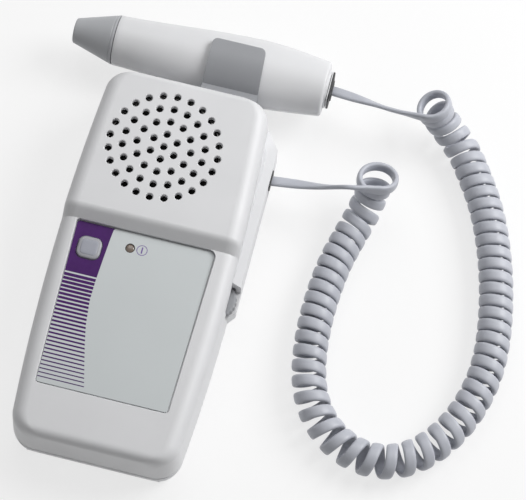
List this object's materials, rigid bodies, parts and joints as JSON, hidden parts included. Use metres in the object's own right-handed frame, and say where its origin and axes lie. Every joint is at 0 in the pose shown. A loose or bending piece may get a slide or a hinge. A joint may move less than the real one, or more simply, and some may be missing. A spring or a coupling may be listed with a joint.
{
  "type": "handheld vascular doppler",
  "caption": "Handheld vascular doppler: battery housing with a loudspeaker, a pencil probe in a clip across its top end, and a flat curly cord.",
  "frame": {"origin": "middle of the flat back face, which the housing lies on", "axes": "+X the housing's right side, +Y its top end, where the probe is, +Z out of its front"},
  "size_m": [0.2285, 0.2121, 0.038],
  "materials": {
    "white_shell": "fine moulded texture",
    "label_print": "printed film",
    "grey_plastic": "smooth moulded",
    "dark_plastic": "smooth moulded",
    "led_lens": "tinted lens",
    "cone_paper": "pressed paper",
    "plated_steel": "plated",
    "ferrite": "pressed ferrite",
    "foam": "foam strip",
    "board_green": "solder resist",
    "cell_jacket": "printed sleeve",
    "crystal_ceramic": "fired",
    "window_resin": "cast resin",
    "cord_vinyl": "smooth vinyl"
  },
  "bodies": {
    "housing": {"front_shell": "white_shell", "rear_shell": "white_shell", "unit_socket": "white_shell", "label_overlay": "label_print", "probe_clip": "grey_plastic", "unit_plug": "dark_plastic", "tact_switch": "dark_plastic", "signal_chip": "dark_plastic", "power_led": "led_lens", "speaker_cone": "cone_paper", "speaker_frame": "plated_steel", "volume_pot": "plated_steel", "clip_screw_1": "plated_steel", "clip_screw_2": "plated_steel", "case_screw_1": "plated_steel", "case_screw_2": "plated_steel", "case_screw_3": "plated_steel", "case_screw_4": "plated_steel", "board_screw_1": "plated_steel", "board_screw_2": "plated_steel", "board_screw_3": "plated_steel", "board_screw_4": "plated_steel", "battery_spring_1": "plated_steel", "battery_spring_2": "plated_steel", "battery_spring_3": "plated_steel", "battery_spring_4": "plated_steel", "battery_contact_1": "plated_steel", "battery_contact_2": "plated_steel", "battery_contact_3": "plated_steel", "battery_contact_4": "plated_steel", "speaker_magnet": "ferrite", "speaker_gasket": "foam", "circuit_board": "board_green", "battery_cell_1": "cell_jacket", "battery_cell_2": "cell_jacket", "battery_cell_3": "cell_jacket", "battery_cell_4": "cell_jacket", "cord_coil": "cord_vinyl", "cord_unit_lead": "cord_vinyl"},
    "probe": {"probe_upper_shell": "white_shell", "probe_lower_shell": "white_shell", "probe_tip": "grey_plastic", "probe_window": "window_resin", "transmit_crystal": "crystal_ceramic", "receive_crystal": "crystal_ceramic", "crystal_backing": "grey_plastic", "probe_board": "board_green", "probe_socket": "dark_plastic", "probe_plug": "dark_plastic", "cord_probe_lead": "cord_vinyl"},
    "power_button": {"power_button": "grey_plastic"},
    "volume_wheel": {"volume_wheel": "grey_plastic"},
    "battery_door": {"battery_door": "white_shell"}
  },
  "joints": [
    {"name": "probe_lift", "type": "slide", "parent": "housing", "child": "probe", "axis": [0, 1, 0], "range_m": [0, 0.036], "deforming": ["cord_coil"]},
    {"name": "button_press", "type": "slide", "parent": "housing", "child": "power_button", "axis": [0, 0, -1], "range_m": [0, 0.0006], "stiffness_N_per_m": 300, "springref_m": -0.0005},
    {"name": "volume_turn", "type": "hinge", "parent": "housing", "child": "volume_wheel", "pos_m": [0.0351, -0.0035, 0.0182], "axis": [0, 0, 1], "range_deg": [-140, 140]},
    {"name": "door_slide", "type": "slide", "parent": "housing", "child": "battery_door", "axis": [0, -1, 0], "range_m": [0, 0.06]}
  ]
}
